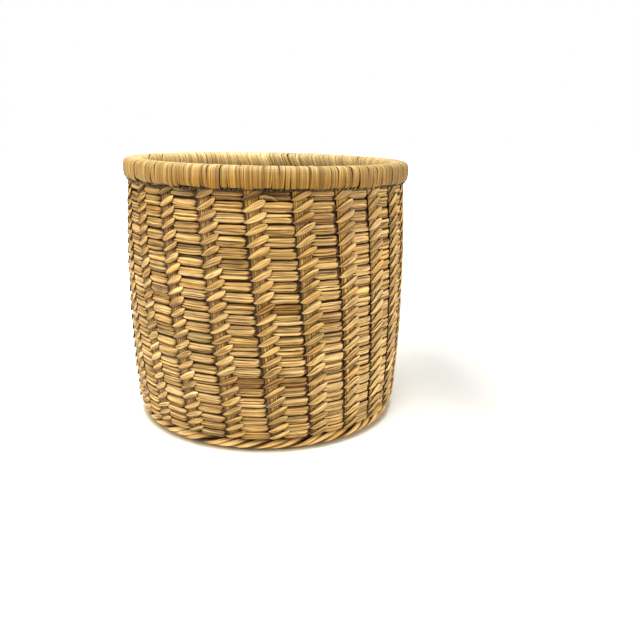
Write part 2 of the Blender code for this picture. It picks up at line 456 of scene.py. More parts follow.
# a lash is the leaf laid over a stake, from the lower left to the upper right
lash = {
    "start": -6.9, "end": 9.4, "rise": (3.036, 3.864), "half": 3.15,
    "tilt": (0.09, 0.25), "shear": (0.36, 0.72),  # the tips are cut aslant
    "share": np.array([0, 0.09, 0.22, 0.36, 0.50, 0.64, 0.78, 0.90, 1]),
    "wide": np.array([0.08, 0.36, 0.66, 0.87, 0.98, 1, 0.95, 0.78, 0.26]),
    "depth": np.array([-0.5, 0.0, 0.32, 0.46, 0.50, 0.50, 0.48, 0.44, 0.34]),
    "thick": np.array([0.30, 0.45, 0.58, 0.64, 0.66, 0.62, 0.55, 0.45, 0.28]),
    # along the lash: darker at the lower end, where it tucks in, as painted shade; lighter towards the upper
    # tip
    "tone": np.array([0.74, 0.88, 0.97, 1, 1, 1.02, 1.05, 1.08, 1.10]),
    "spans": (0.93, 1.07), "wave": 0.30, "arch": (-0.3, 0.7),
    "curlFrom": 0.75, "curl": (-0.4, 2.0),  # some tips curl away from the wall
    "widths": (0.80, 1.10), "tipFrom": 0.6, "tip": (0.3, 0.9),  # the tip lies high
    # painted shade at the edges, on the back and in the grooves; painted light along the upper edge
    "edge": (0.88, 6), "upperLight": 0.20, "backTone": 0.3, "flatter": 0.55,
    "grooves": (2, 5), "groove": (0.3, 0.85), "grooveDark": 0.65, "grooveReach": 3,
}
lashBlank = makeBlank(len(lash["share"]), 12, False)


def cutLines(steps, sides):  # grooves between a lash's ribs, some only part of the way
    cut = np.zeros((steps, sides))
    reach = lash["grooveReach"]
    for line in draw.integers(-reach, reach + 1, draw.integers(*lash["grooves"])):
        first, last = draw.integers(0, steps // 2), draw.integers(steps // 2, steps + 1)
        cut[first:last, line] = np.maximum(cut[first:last, line], vary(lash, "groove"))
    return cut


def lashOver(azimuth, radius, z, normal, size, squeeze, depth, shade):
    share = lash["share"]
    reach = vary(lash, "spans")
    x = np.interp(share, (0, 1), (lash["start"] * squeeze[0] * reach, lash["end"] * squeeze[1] * reach))
    rise = vary(lash, "rise") * size
    up = rise * (2 * share - 1) - lash["wave"] * np.sin(math.tau * share)
    up = up + vary(lash, "arch") * np.sin(math.pi * share)
    lift = np.clip(share - lash["curlFrom"], 0, 1) * vary(lash, "curl")
    out = (lash["depth"] + lift) * depth
    v, height, isFace = lashBlank["section"]
    edge = np.where(isFace, (1 - atEdge(v, *lash["edge"])) * (1 + lash["upperLight"] * v), lash["backTone"])
    cut = cutLines(len(share), len(v))
    colours = toned(shade, (lash["tone"][:, None] * edge[None, :]) * (1 - lash["grooveDark"] * cut))
    flatter = lash["flatter"] * (1 - height[None, :]) * isFace[None, :]
    wide = lash["half"] * size ** 0.8 * vary(lash, "widths") * lash["wide"]
    atTip = np.interp(share, (lash["tipFrom"], 1), (0, 1))
    up = up + (lash["half"] * size - wide) * atTip * vary(lash, "tip")
    azimuth = azimuth + np.degrees(x / radius)
    path = laidOn(azimuth, radius, z, normal, up, out)
    outward = unit(outwardAt(azimuth, normal, vary(lash, "tilt")))
    thick = lash["thick"] * depth ** 0.5
    return layStrand(lashBlank, path, outward, wide, thick, colours, cut - flatter, vary(lash, "shear"))


# twined rows: two strands fill the bar between stakes, then one lashes the next stake, one passes behind
twine = {
    "knots": np.array([0, 2.4, 4.6, 6.0, 7.0, 8.4, 10.4, 13]),  # mm from the middle of a stake
    "behind": np.array([-4.2, -4.15, -3.7, -2.4, -1.5, -1.2, -1.1, -1.1]),  # depth of one that passes behind
    "tucked": np.array([-2.5, -2.5, -2.5, -2.2, -1.5, -1.2, -1.1, -1.1]),  # and of one whose lash is outside
    "level": np.array([0, 0.2, 0.6, 0.95, 1, 1, 1, 1]),
    "full": np.array([0, 0.1, 0.42, 0.68, 0.79, 0.89, 0.96, 1]),  # share of the bar's height
    "back": np.array([1, 1, 0.6, 0.1, 0, 0, 0, 0]),
    "thick": np.array([0.7, 0.7, 0.75, 0.9, 1.15, 1.4, 1.6, 1.7]),
    "sooner": np.array([0, 0.5, 0.9, 1, 1, 0.8, 0.4, 0]), "soonest": (0.32, 3.2),  # at right ends
    "knotShare": 0.98, "taper": 0.16, "dip": (-0.2, 0.9),
    "pitch": 8.8, "closePitch": 6.7, "closeFrom": 22, "usualSpan": 28.3,  # mm; the lowest rows lie closer
    "fill": 0.476, "fills": (0.90, 1.04), "backHalf": 2.1, "overlap": 0.30,
    "seam": (-0.45, 0.50), "seamDrift": (-0.30, 0.20), "seamLimit": 0.6,  # the line between the two strands
    "oneLeaf": 0.22, "oneLeafSeam": (-0.84, -0.90),  # share of the bars that are nearly all one strand
    "bulge": (-0.45, 0.27), "wander": (-0.26, 0.26), "jitter": 0.16, "jitterAt": (0, 0.2, 0.5, 0.8, 1),
    # painted shade: dark along the seam between the strands, at the outer edges and on the back
    "seamDark": (0.25, 0.92), "seamPower": 7, "outerEdge": (0.98, 3.6), "backEdge": (0.95, 4),
    "seamStep": (-0.35, 0.35),  # how far one strand stands out beside the other
    "paleEdge": 0.14,  # the upper edge of a leaf is paler and the lower darker: partly the leaf's own pale edge, partly painted light from above
    "faceTone": ((-2.675, -1.5), (0.06, 1)), "backTone": ((-3.8, -2.6), (0.95, 0.35)),  # by depth: painted shade, the face darker the deeper it lies, the back darker the shallower it lies
    "thinHalf": 1.1, "thinShade": 0.30,
    "wideHalf": 1.8, "wideGrooves": (1, 2, 3, 4), "thinGrooves": (0, 1, 1), "grooveReach": 5,
    # grooves carved in, darkened with painted shade
    "groove": (0.35, 1.05), "grooveTurn": 3, "grooveDark": 0.86,
}
gapSteps = 2 * len(twine["knots"])


def overGap(key, endKey=None):  # values from the middle of one stake to the middle of the next
    first, last = twine[key], twine[endKey or key]
    return np.concatenate([first, first[-1:], last[:0:-1]])


def rowGrooves(isWide, sides, swell):  # between a bar's ribs, and aside where the leaf turns over
    cut = np.zeros((gapSteps, sides))
    reach, turn, middle = twine["grooveReach"], twine["grooveTurn"], gapSteps // 2
    for _ in range(draw.choice(twine["wideGrooves"] if isWide else twine["thinGrooves"])):
        line, drift = draw.integers(-reach, reach + 1), draw.integers(-1, 2)
        fade = np.interp(swell, (1 / 3, 1), (0, 1)) * vary(twine, "groove")
        turnover = draw.integers(middle - turn, middle + turn + 1)
        cut[:turnover, line] = np.maximum(cut[:turnover, line], fade[:turnover])
        cut[turnover:, line + drift] = np.maximum(cut[turnover:, line + drift], fade[turnover:])
    return cut


def twinedRow(name, blank, radius, z, normal, azimuths, pitch, slotName, node, depth=1.0, marks=()):
    count = len(azimuths)
    size = pitch / twine["pitch"]
    step = np.diff(np.append(azimuths, azimuths[0] + 360))
    span = np.radians(step) * radius
    squeeze = np.minimum(1.0, span / twine["usualSpan"])
    isTop = name == "twinedRow01"
    tall = twine["fill"] * pitch * vary(twine, "fills", count)
    seamLeft = vary(twine, "seam", count) * tall
    limit = twine["seamLimit"] * tall
    seamRight = np.clip(seamLeft + vary(twine, "seamDrift", count) * tall, -limit, limit)
    lone = draw.random(count) < twine["oneLeaf"]
    seamLeft[lone], seamRight[lone] = (share * tall[lone] for share in twine["oneLeafSeam"])
    bulge = vary(twine, "bulge", count)
    wander = vary(twine, "wander", count) * size
    v, _, isFace = blank["section"]
    pale = 1 + twine["paleEdge"] * v * isFace
    seamDark = vary(twine, "seamDark", count)
    seamStep = vary(twine, "seamStep", count)
    shades = [leafShades(count), leafShades(count)]
    for spot, shade, strength in marks:
        for strand in shades:
            strand[spot] = strand[spot] * (1 - strength) + rush[shade] * strength
    rightEnd = np.append(0, np.linspace(0, 1, gapSteps // 2 - 1))
    strands = []
    for parity in (0, 1):
        bars = []
        for gap in range(count):
            isUpper = gap % 2 == parity
            way = 1 if isUpper else -1
            knots = twine["knots"] * squeeze[gap]
            early = twine["sooner"] * vary(twine, "soonest") * squeeze[gap]
            leaving, arriving = knots * twine["knotShare"], (span[gap] - knots - early)[:0:-1]
            share = np.concatenate([leaving, [span[gap] / 2], arriving]) / span[gap]
            seam = seamLeft[gap] + (seamRight[gap] - seamLeft[gap]) * share
            barHalf = (tall[gap] - way * seam + twine["overlap"]) / 2
            barLevel = (way * (tall[gap] - twine["overlap"] / 2) + seam) / 2 + wander[gap]
            atSeam = atEdge(v, seamDark[gap], twine["seamPower"])
            dark = np.where(v * way * isFace < 0, atSeam, atEdge(v, *twine["outerEdge"]))
            edge = (1 - np.where(isFace, dark, atEdge(v, *twine["backEdge"]))) * pale
            deep = overGap("tucked", "behind") if isUpper else overGap("behind", "tucked")
            swell = overGap("full")
            swell[-len(rightEnd):] *= 1 - draw.uniform(0, twine["taper"]) * rightEnd ** 2
            waver = np.interp(share, twine["jitterAt"], (0, *draw.normal(0, twine["jitter"], 3), 0))
            dip = np.append(np.zeros(len(rightEnd)), rightEnd ** 3) * vary(twine, "dip")
            azimuth = azimuths[gap] + step[gap] * share
            up = overGap("level") * (barLevel + waver - dip)
            wide = overGap("back") * twine["backHalf"] * size + swell * barHalf
            outer = np.interp(deep, *twine["faceTone"])
            if not isUpper:  # the thin edge of a leaf lies in shade
                outer *= 1 - twine["thinShade"] * swell * (barHalf < twine["thinHalf"])
            inner = np.interp(deep, *twine["backTone"])
            tone = np.where(isFace[None, :], outer[:, None], inner[:, None]) * edge[None, :]
            if isTop:
                tone = tone * rimShade(azimuth[:, None], up[:, None] + wide[:, None] * v[None, :])
            cut = rowGrooves(barHalf.mean() > twine["wideHalf"], len(v), swell)
            out = (deep + (bulge[gap] + way * seamStep[gap]) * swell) * depth
            thick = overGap("thick") * depth ** 0.5
            colours = toned(shades[parity][gap], tone * (1 - twine["grooveDark"] * np.minimum(cut, 1)))
            bars.append((azimuth, up, out, wide, thick, colours, cut))
        azimuth, up, out, wide, thick, colours, cut = (np.concatenate(part) for part in zip(*bars))
        path = laidOn(azimuth, radius, z, normal, up, out)
        strands.append(layStrand(blank, path, outwardAt(azimuth, normal), wide, thick, colours, cut))
    for stand, azimuth in enumerate(azimuths):
        shade = shades[stand % 2][stand]
        if isTop:
            lit = rimShade(azimuth, underRim["lashHeight"])
            shade = toned(shade, 1 - underRim["lashShare"] + underRim["lashShare"] * lit)
        pinch = (squeeze[stand - 1], squeeze[stand])
        strands.append(lashOver(azimuth, radius, z, normal, size, pinch, depth, shade))
    inset, thick = lining["depth"] * depth, lining["thick"] * depth
    strands.append(liningLeaf(radius, z, normal, inset, pitch * lining["halfShare"], thick))
    joinAs(name, strands, slotName, node)


rowMarks = {  # odd bars seen in the photograph: gap, shade and strength; gap 23 is nearest to the camera
    18: [(22, "honey", 0.85), (23, "brown", 0.30), (23, "honey", 0.80), (0, "honey", 0.25)],
    11: [(23, "honey", 0.90)],
    12: [(0, "honey", 0.60)],
    14: [(21, "olive", 0.50)],
    1: [(23, "brown", 0.30), (22, "brown", 0.20), (0, "brown", 0.20), (21, "olive", 0.30)],
}
rowBlank = makeBlank(stakeCount * gapSteps, 20, True)
rowHeights = np.empty(rowCount)
for number in range(1, rowCount + 1):
    node = f"weft_row_{number:02d}"
    low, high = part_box(node)
    z = rowHeights[number - 1] = (low.z + high.z) / 2 / mm
    radius, normal = wallFace(z)
    pitch = twine["pitch"] if number < twine["closeFrom"] else twine["closePitch"]
    twinedRow(f"twinedRow{number:02d}", rowBlank, radius, z, normal, stakeAzimuths(z), pitch,
              "row_rush", node, marks=rowMarks.get(number, ()))
print("wall rows woven")

# stakes: two leaves between two narrow ones, pressed in at each lash
stake = {
    "top": 220.5, "foot": 15.0, "step": 2.2,
    "depth": 1.15, "press": 0.40, "pressReach": 2.3, "thinned": 0.25,
    "leaves": (  # place across, half width, half thickness and tone; the narrow outer leaves' lower tone is painted shade
        (-4.30, 1.05, 0.50, 0.50), (-1.82, 1.88, 0.60, 1), (1.82, 1.88, 0.56, 1), (4.30, 1.05, 0.50, 0.72),
    ),
    "aside": (-0.28, 0.28), "warmth": np.array([1.06, 1.0, 0.80]), "tones": (0.74, 1.0), "plain": 0.3,
    "under": (  # radius, height and outward direction where the leaves turn under the wall
        (121.0, 13.4, 0.3, 0.95), (117.6, 13.2, -0.1, 1.0), (113.8, 12.2, 0.4, 0.9), (110.6, 8.8, 0.85, 0.5),
        (107.8, 5.2, 0.75, -0.65), (104.5, 3.2, 0.3, -0.95), (100.5, 2.3, 0.05, -1.0),
    ),
    "underShare": 0.9,  # the leaves draw together there
    "shadow": 0.52, "shadowDrop": 3.1, "shadowSlope": 0.47, "shadowReach": 1.9,  # painted shadow that each lash casts below it
    "shadowHue": np.array([1.0, 1.15, 1.45]),
    "golden": {23: (180, 0.9), 0: (165, 0.75), 1: (120, 0.75), 2: (160, 0.45)},  # stake: height and strength
    # edge and groove: painted shade at the leaves' edges, on their backs and in their grooves
    "goldenFade": 40, "edge": (0.88, 6, 0.4), "groove": 0.7, "grooveReach": 3, "grooveDark": 0.6,
}
wallLevels = np.arange(stake["top"], stake["foot"], -stake["step"])
stakeBlank = makeBlank(len(wallLevels) + len(stake["under"]), 12, False)


def stakePath(number, place, aside):  # down the wall and under it
    path, outward, thin = [], [], []
    for level in wallLevels:
        radius, normal = wallFace(level)
        press = min(hill(level - rowHeights, stake["pressReach"], 2).sum(), 1)
        inset = stake["depth"] + stake["press"] * (press - 0.5)
        azimuth = stakeAzimuths(level)[number] + math.degrees((place + aside) / radius)
        path.append(laidOn(azimuth, radius, level, normal, 0, -inset))
        outward.append(around(azimuth, *normal))
        thin.append(1 - stake["thinned"] * press)
    for r, z, radial, upward in stake["under"]:
        azimuth = stakeAzimuths(z)[number] + math.degrees(place * stake["underShare"] / r)
        path.append(around(azimuth, r, z))
        outward.append(around(azimuth, radial, upward))
        thin.append(1.0)
    return np.array(path), unit(np.array(outward)), np.array(thin)


def stakeLeaf(number, place, halfWide, halfThick, tone):
    aside = vary(stake, "aside", 12)[-1]  # the last draw counts, the others keep later ones as they are
    path, outward, thin = stakePath(number, place, aside)
    heights = path[:, 2]
    shade = leafShades(1, stake["plain"])[0] * stake["warmth"] * vary(stake, "tones") * tone
    middles = rowHeights + place * stake["shadowSlope"] - stake["shadowDrop"]
    under = hill(heights[:, None] - middles[None, :], stake["shadowReach"], 2).sum(1)
    colourAndShade = shade * (1 - stake["shadow"] * np.minimum(under, 1))[:, None] ** stake["shadowHue"]
    if number in stake["golden"]:
        start, strength = stake["golden"][number]
        share = np.interp(heights, (start, start + stake["goldenFade"]), (0, strength))[:, None]
        colourAndShade = colourAndShade * (1 - share) + rush["amber"] * 0.9 * share
    edge = edgeTone(stakeBlank, *stake["edge"])
    carve = np.zeros((len(path), len(edge)))
    carve[:, draw.integers(-stake["grooveReach"], stake["grooveReach"] + 1)] = stake["groove"]
    colours = toned(colourAndShade[:, None, :], edge[None, :] * (1 - stake["grooveDark"] * carve))
    return layStrand(stakeBlank, path, outward, halfWide, halfThick * thin, colours, carve)


for number in range(stakeCount):
    parts = [stakeLeaf(number, *leaf) for leaf in stake["leaves"]]
    joinAs(f"stakeLeaves{number + 1:02d}", parts, "stake_rush", f"stake_{number + 1:02d}")
print("stakes laid")

# rim: flat strips wound over a core, one after another
rim = {
    "crest": 119.4, "middle": 226.3, "halfWide": 8.9, "halfTall": 8.7, "roundness": 3.8, "normalPower": 1.2,
    "strips": 139, "widthSpread": 0.24, "firstTurn": -170, "stations": 18, "thick": 0.55, "overlap": 1.03,
    "seam": 215,  # degrees round the section: it lies low on the inside
    "lift": (-0.20, 0.20), "liftTall": 0.6, "lean": 0.35,
    "raggedShare": 0.55, "ragged": (-0.9, 0.6), "hem": 0.15,  # the lower outer edge is uneven
    "torn": (295, 335), "tornMore": 1.7, "tears": (-0.5, 0.4),  # and torn at the front left
    "slantedAt": (125, 195), "slant": 4.2, "slantRest": 0.25,  # the strips lie aslant inside the far rim
    "splits": (  # azimuth and strength of the dark splits between strips
        (-43.5, 1.0), (-31.5, 0.15), (-18.3, 0.25), (-15.7, 0.5), (6.4, 0.9), (26.0, 0.4), (29.0, 0.35),
        (33.0, 0.45), (35.8, 0.35), (40.5, 0.5), (45.0, 0.35), (50.0, 0.4), (58.0, 0.35),
        (168.0, 0.7), (214.0, 0.8), (231.0, 0.7),
    ),
    "splitReach": 0.6, "straySplits": 0.09, "straySplit": (0.1, 0.35), "splitWidth": 0.22, "splitDark": 0.40,
    "plain": 0.35, "strawParts": 3, "tones": (0.95, 1.045),
    # painted shade at the strips' edges and on their backs
    "edge": (0.22, 0.54), "edgePower": 10, "backTone": 0.45,
    # painted light: a highlight along the crest, shade underneath, lighter inside
    "glow": 0.86, "crestGlow": (0.56, 6), "underShade": (0.20, 4), "insideGlow": (0.34, 0.46),
    "gold": np.array([0.695, 0.585, 0.200]), "litTint": np.array([0.985, 1.07, 1.19]),  # golden, the strips' own colour deepened low on the front by painted shade; pale where painted light falls, as at the top
    "paleUp": (0.1, 0.9), "paleAside": ((-73, -28, 28, 73), (0.85, 0, 0, 0.35)),  # paler upwards, and by azimuth towards the far sides: painted light
    "rightTone": ((15, 60), (1, 0.8)),
    "litPale": np.array([1.0, 1.07, 1.28]), "litPalePower": 4,  # painted highlight: the crest is pale
    # grooves carved in, darkened with painted shade
    "grooves": (1, 4), "groove": (0.2, 0.8), "grooveDark": 0.55, "grooveDepth": 0.5,
}
rimBlank = makeBlank(rim["stations"], 12, True, True)
aroundRim = np.radians(np.arange(rim["stations"]) / rim["stations"] * 360 + rim["seam"])
acrossRim, upRim = np.cos(aroundRim), np.sin(aroundRim)


def rounded(value, power):
    return np.sign(value) * np.abs(value) ** power


def hemCut(place):  # share by which the strip's lower outer edge is raised, or lowered below 0
    ragged = vary(rim, "ragged") if draw.random() < rim["raggedShare"] else 0
    if rim["torn"][0] < place % 360 < rim["torn"][1]:
        ragged = ragged * rim["tornMore"] + vary(rim, "tears")
    return ragged * rim["hem"]


def rimShades(place, level, inner):  # the front is the most golden; painted light makes the strips paler upwards, inside and towards the far sides, with a painted highlight at the crest; darker towards the right
    shade = leafShades(1, rim["plain"])[0] + rush["straw"] * rim["strawParts"]
    shade = shade / (1 + rim["strawParts"]) * vary(rim, "tones")
    off = turned(place)
    aside = np.interp(off, *rim["paleAside"])
    upwards = rim["paleUp"][0] + rim["paleUp"][1] * level
    pale = np.clip(np.maximum(upwards, np.maximum(inner, aside)), 0, 1)[:, None]
    shade = shade * (rim["gold"] * (1 - pale) + rim["litTint"] * pale) * np.interp(off, *rim["rightTone"])
    return shade * rim["litPale"] ** np.clip(level, 0, 1)[:, None] ** rim["litPalePower"]


def rimStrip(place, width):
    high, power = vary(rim, "lift"), 2 / rim["roundness"]
    x = rounded(acrossRim, power) * (rim["halfWide"] - rim["thick"] + high)
    y = rounded(upRim, power) * (rim["halfTall"] - rim["thick"] + high * rim["liftTall"])
    y = np.where((y < 0) & (x > 0), y * (1 - hemCut(place)), y)
    level = y / rim["halfTall"]
    inner = np.clip(-x / rim["halfWide"], 0, 1)
    slanted = 1.0 if rim["slantedAt"][0] < place % 360 < rim["slantedAt"][1] else rim["slantRest"]
    shift = (draw.normal(0, rim["lean"]) + inner * slanted * rim["slant"]) * level
    r = rim["crest"] + x
    azimuth = place + np.degrees(shift / r)
    path = around(azimuth, r, rim["middle"] + y)
    outward = unit(around(azimuth, *(rounded(part, rim["normalPower"]) for part in (acrossRim, upRim))))
    reach = width * rim["splitReach"]
    nearSplits = [dark for spot, dark in rim["splits"] if abs(turned(place - spot)) < reach]
    stray = vary(rim, "straySplit") if draw.random() < rim["straySplits"] else 0
    split = max(nearSplits, default=stray)
    halfWide = math.radians(width) / 2 * r * (rim["overlap"] - rim["splitWidth"] * split)
    shade = rimShades(place, level, inner)
    # painted light: a highlight along the crest, shade underneath, lighter inside
    glow = rim["glow"] + atEdge(np.clip(level, 0, 1), *rim["crestGlow"])
    glow = glow - atEdge(np.clip(-level, 0, 1), *rim["underShade"])
    glow = glow + inner * (rim["insideGlow"][0] + rim["insideGlow"][1] * level)
    dark = vary(rim, "edge") + rim["splitDark"] * split
    edge = edgeTone(rimBlank, dark, rim["edgePower"], rim["backTone"])
    cut = np.zeros((rim["stations"], len(edge)))
    for line in draw.choice([-3, -2, -1, 0, 1, 2, 3], draw.integers(*rim["grooves"]), replace=False):
        cut[:, line] = vary(rim, "groove")
    colours = toned(shade[:, None, :], glow[:, None] * edge[None, :] * (1 - rim["grooveDark"] * cut))
    return layStrand(rimBlank, path, outward, halfWide, rim["thick"], colours, rim["grooveDepth"] * cut)


widths = draw.lognormal(0, rim["widthSpread"], rim["strips"])
widths = widths / widths.sum() * 360
centres = np.cumsum(widths) - widths / 2 + rim["firstTurn"]
strips = [rimStrip(place, width) for place, width in zip(centres, widths)]
joinAs("rimWinding", strips, "rim_rush", "rim_binding")

# the bundle inside the rim shows only between strips; its dark tone is painted shade
core = {
    "ring": 119.4, "middle": 226.6, "strands": 5, "offset": 3.4, "half": 2.6, "thick": 1.6,
    "turns": 3, "steps": 144, "tone": 0.35,
}
coreBlank = makeBlank(core["steps"], 8, True)


def coiled(look, turnAt, lay, drop=0):  # a strand's path round its ring and its outward directions
    dx, dz = np.cos(lay), np.sin(lay)
    path = around(turnAt, look["ring"] + look["offset"] * dx, look["middle"] - drop + look["offset"] * dz)
    return path, around(turnAt, dx, dz)


turnAt = np.arange(core["steps"]) / core["steps"] * 360
parts = []
for strand in range(core["strands"]):
    lay = np.radians(turnAt * core["turns"] + strand * 360 / core["strands"])
    colourAndShade = np.tile(rush["tan"] * core["tone"], (core["steps"], 1))
    parts.append(layStrand(coreBlank, *coiled(core, turnAt, lay), core["half"], core["thick"], colourAndShade))
joinAs("rimBundle", parts, "rim_rush", "rim_core")

twist = {  # shared by cord and foot; a ripple is its waves a round and its size; painted shade where a strand turns in, at its edges, on its back and in its grooves
    "layRipples": ((5, 0.22), (13, 0.18)), "widthRipple": (17, 0.10), "shown": (0.35, 0.9),
    "edge": (0.94, 4.8, 0.2), "grooveDark": 0.6,
}


def ripple(turnAt, waves, height):
    return height * np.sin(np.radians(turnAt * waves + draw.uniform(0, 360)))


def twistedRing(name, look, shadeOf, slotName, node, liners=()):  # strands twisted into a ring
    steps = look["turns"] * look["stepsEach"]
    blank = makeBlank(steps, look["sides"], True)
    parts = []
    turnAt = np.arange(steps) / steps * 360
    drop = look["drop"](turnAt) if "drop" in look else 0
    for strand in range(look["strands"]):
        uneven = sum(ripple(turnAt, *wave) for wave in twist["layRipples"])
        lay = np.radians(turnAt) * look["turns"] + math.tau * strand / look["strands"] + uneven
        path, outward = coiled(look, turnAt, lay, drop)
        wide = look["wide"] * (1 + ripple(turnAt, *twist["widthRipple"]))
        facing = np.clip(twist["shown"][0] + twist["shown"][1] * np.cos(lay), 0, 1)
        shown = look["shade"] + (1 - look["shade"]) * facing
        edge = edgeTone(blank, *twist["edge"])
        carve = np.zeros((steps, look["sides"]))
        for line, depth in look["grooves"]:
            carve[:, line] = depth
        tone = shown[:, None] * edge[None, :] * (1 - twist["grooveDark"] * carve)
        colours = toned(shadeOf(steps)[:, None, :], tone)
        parts.append(layStrand(blank, path, outward, wide, look["thick"], colours, carve))
    joinAs(name, [*parts, *liners], slotName, node)


def spanShades(steps, each):  # leaf colours along a ring, one leaf every few strand lengths
    count = max(steps // each, 4)
    leaves = leafShades(count)
    where = np.arange(steps) / steps * count
    return leaves[np.minimum(where.astype(int), count - 1)]


def sag(turnAt):  # the cord hangs loose below the binding at the front left
    loose = cord["loose"] * hill(turned(turnAt - cord["looseAt"]), cord["looseWidth"])
    return cord["hang"] + loose * (0.6 + 0.4 * np.sin(np.radians(turnAt * cord["looseWaves"])))


cord = {
    "ring": 124.8, "middle": 218.3, "offset": 0.70, "wide": 0.95, "thick": 0.55, "turns": 110,
    "stepsEach": 6, "sides": 8, "strands": 2, "grooves": (), "drop": sag, "shade": 0.6,
    "hang": 0.4, "loose": 2.6, "looseAt": 310, "looseWidth": 22, "looseWaves": 22,
    "leafSteps": 30, "tones": (0.10, 0.16, 0.16, 0.55),  # mostly dark, the cord's own dark colour and painted shade under the binding, with a pale stretch here and there
    "litPale": 1.8, "litPaleAt": 294, "litPaleWidth": 15,  # painted light: paler where the cord hangs out below the ragged binding
}


def cordShades(steps):
    leafSteps = cord["leafSteps"]
    off = np.arange(steps) / steps * 360 - cord["litPaleAt"]
    # painted light: paler where the cord hangs out below the ragged binding
    litPale = 1 + cord["litPale"] * hill(off, cord["litPaleWidth"])
    leaves = spanShades(steps, leafSteps)
    tones = draw.choice(cord["tones"], steps // leafSteps).repeat(leafSteps)[:steps]
    return leaves * (tones * litPale)[:, None]


twistedRing("rimTwist", cord, cordShades, "rim_rush", "rim_cord")

foot = {
    "ring": 116.8, "middle": 5.9, "offset": 2.5, "wide": 2.25, "thick": 1.75, "turns": 12, "stepsEach": 32,
    "sides": 12, "strands": 4, "grooves": ((1, 0.35), (-2, 0.30)),
    # painted light: tone lifts the whole border, which the lamps reach little; shade is the painted shade
    # where a strand turns in
    "shade": 0.30, "leafSteps": 14, "tone": 1.56,
    "linerThick": 0.5, "liners": (  # radius, height, outward direction and half width
        (118.2, 13.6, (1.0, -0.5), 3.0), (112.0, 8.0, (1.0, -0.5), 4.2), (108.2, 3.4, (0.35, -1.0), 4.2),
    ),
    "cornerThick": 0.6, "corner": (  # where the wall turns into the base
        (116.7, 14.5, (0.15, -1.0), 3.7), (111.0, 11.5, (0.75, -0.66), 3.1),
        (107.1, 7.2, (0.78, -0.62), 2.9), (103.6, 4.9, (0.40, -0.92), 2.8),
    ),
}


def footShades(steps):
    return spanShades(steps, foot["leafSteps"]) * foot["tone"]


def liningLeaves(places, thick):
    return [liningLeaf(r, z, unit(lean), 0.0, half, thick) for r, z, lean, half in places]


liners = liningLeaves(foot["liners"], foot["linerThick"])
twistedRing("footBorder", foot, footShades, "foot_rush", "foot_rope", liners)
joinAs("cornerLining", liningLeaves(foot["corner"], foot["cornerThick"]), "row_rush")
print("rim and foot bound")

# base: the stakes run on as spokes and cross in a small woven mat
base = {
    "face": 1.95, "depth": 0.8, "rows": 6, "rowPitch": 9.2,
    "hubRows": (26.5, 34.2, 41.9, 49.6), "hubPitch": 7.9,
    "spokeZ": 2.05, "spokeThick": 0.6, "spokeEnds": (103, 30), "spokeSteps": 28,
    "matPitch": 6.3, "matHalf": 19.5, "matSteps": 22, "matRise": 0.85, "lanes": 6, "smoothings": 2,
    "halfWidth": ((0, 3.15), (22, 3.1), (33, 2.4), (48, 2.2), (58, 2.5), (110, 4.4)),  # by the distance out
    "ways": (  # stake nearest to the axis, direction along it, direction across the lanes
        (6, (1.0, 0.0), (0.0, 1.0)),
        (12, (0.0, 1.0), (-1.0, 0.0)),
    ),
}
down = np.array([0.0, -1.0])
footAzimuths = stakeAzimuths(0.0)
pairs = (footAzimuths[0::2] + footAzimuths[1::2]) / 2
hubBlank = makeBlank(len(pairs) * gapSteps, 12, True)
baseBlank = makeBlank(stakeCount * gapSteps, 12, True)
for number in range(1, base["rows"] + 1):
    node = f"base_row_{number:02d}"
    points = meshPoints(nodes[node].data)
    reachOut = np.hypot(points[:, 0], points[:, 1]) / mm
    radius = (reachOut.max() + reachOut.min()) / 2
    twinedRow(f"baseTwine{number:02d}", baseBlank, radius, base["face"], down, footAzimuths,
              base["rowPitch"], "base_rush", node, base["depth"])
for number, radius in enumerate(base["hubRows"], start=1):
    twinedRow(f"hubTwine{number:02d}", hubBlank, radius, base["face"], down, pairs, base["hubPitch"],
              "base_rush", "base_spokes", base["depth"])

spokeBlank = makeBlank(2 * base["spokeSteps"] + base["matSteps"], 8, False)
spokeRun = np.linspace(*base["spokeEnds"], base["spokeSteps"])
matRun = np.linspace(base["matHalf"], -base["matHalf"], base["matSteps"])


def spoke(number):  # in from one stake at the wall
    return around(footAzimuths[number % stakeCount], spokeRun, 0)[:, :2]


def spokeStrip(axis, lane):  # in from one side, through the mat and out at the other side
    nearest, along, across = base["ways"][axis]
    offset = (lane - (base["lanes"] - 1) / 2) * base["matPitch"]
    matPart = np.array(along)[None] * matRun[:, None] + np.array(across)[None] * offset
    first, last = spoke(nearest - 3 + lane), spoke(nearest + 14 - lane)
    flat = np.concatenate([first, matPart, last[::-1]])
    overUnder = np.zeros(len(flat))
    phase = math.pi * (matRun / base["matPitch"] + 0.5) + math.pi * lane + math.pi * axis
    overUnder[len(first):-len(last)] = base["matRise"] * np.sin(phase)
    for _ in range(base["smoothings"]):
        flat[1:-1] = (flat[:-2] + flat[1:-1] * 2 + flat[2:]) / 4
    distance = np.hypot(flat[:, 0], flat[:, 1])
    path = np.concatenate([flat, (base["spokeZ"] + overUnder)[:, None]], 1)
    wide = np.interp(distance, *np.array(base["halfWidth"]).T)
    outward = np.tile([0.0, 0.0, -1.0], (len(path), 1))
    colourAndShade = np.tile(leafShades(1)[0], (len(path), 1))
    return layStrand(spokeBlank, path, outward, wide, base["spokeThick"], colourAndShade)


strips = [spokeStrip(axis, lane) for axis in (0, 1) for lane in range(base["lanes"])]
joinAs("spokeLeaves", strips, "base_rush", "base_spokes")
print("base woven")

